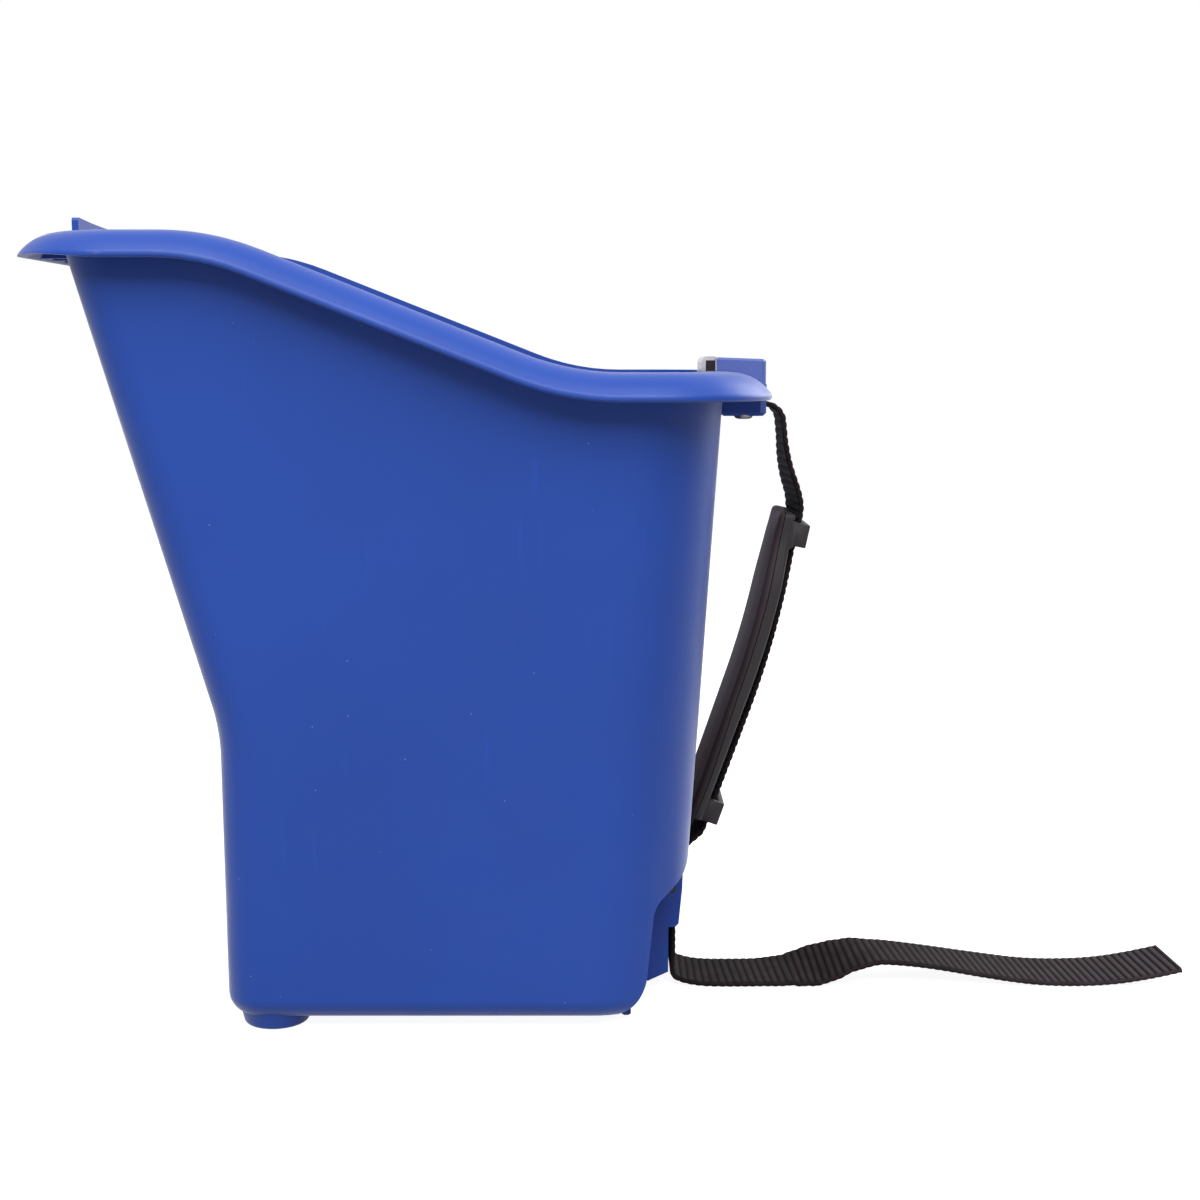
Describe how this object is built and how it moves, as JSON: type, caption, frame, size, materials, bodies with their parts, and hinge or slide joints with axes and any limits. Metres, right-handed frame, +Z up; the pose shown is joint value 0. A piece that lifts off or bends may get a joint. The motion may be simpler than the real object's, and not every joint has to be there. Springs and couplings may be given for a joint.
{
  "type": "painter's pail",
  "caption": "Hand-held painter's pail: moulded blue body with sloped front and rolled rim, rear brush magnet, and a padded webbing hand strap held by a lever lock.",
  "frame": {"origin": "on the floor, under the middle of the object's box without the strap's loose end", "axes": "+Z up, -X towards the sloped pouring front, +X towards the hand strap, +Y to the left of someone who holds the strap with the front ahead"},
  "size_m": [0.3676, 0.15, 0.2498],
  "materials": {
    "blue_plastic": "satin moulded polypropylene",
    "ferrite": "dull black ferrite",
    "bright_steel": "bright zinc plate",
    "dark_steel": "black oxide",
    "black_webbing": "ribbed woven webbing",
    "grey_foam": "closed-cell foam, matte",
    "black_rubber": "moulded rubber, matte"
  },
  "bodies": {
    "pail": {"pail_body": "blue_plastic", "magnet_holder": "blue_plastic", "brush_magnet": "ferrite", "pole_plate": "bright_steel", "strap_clamp": "blue_plastic", "clamp_screws": "bright_steel", "hand_strap": "black_webbing", "strap_tail": "black_webbing", "pad_cushion": "grey_foam", "pad_backing": "black_rubber", "lock_pin": "dark_steel"},
    "lever": {"lock_lever": "blue_plastic"}
  },
  "joints": [
    {"name": "lever_hinge", "type": "hinge", "parent": "pail", "child": "lever", "pos_m": [0.07729, 0, 0.0346], "axis": [0, -1, 0], "range_deg": [0, 95]}
  ]
}
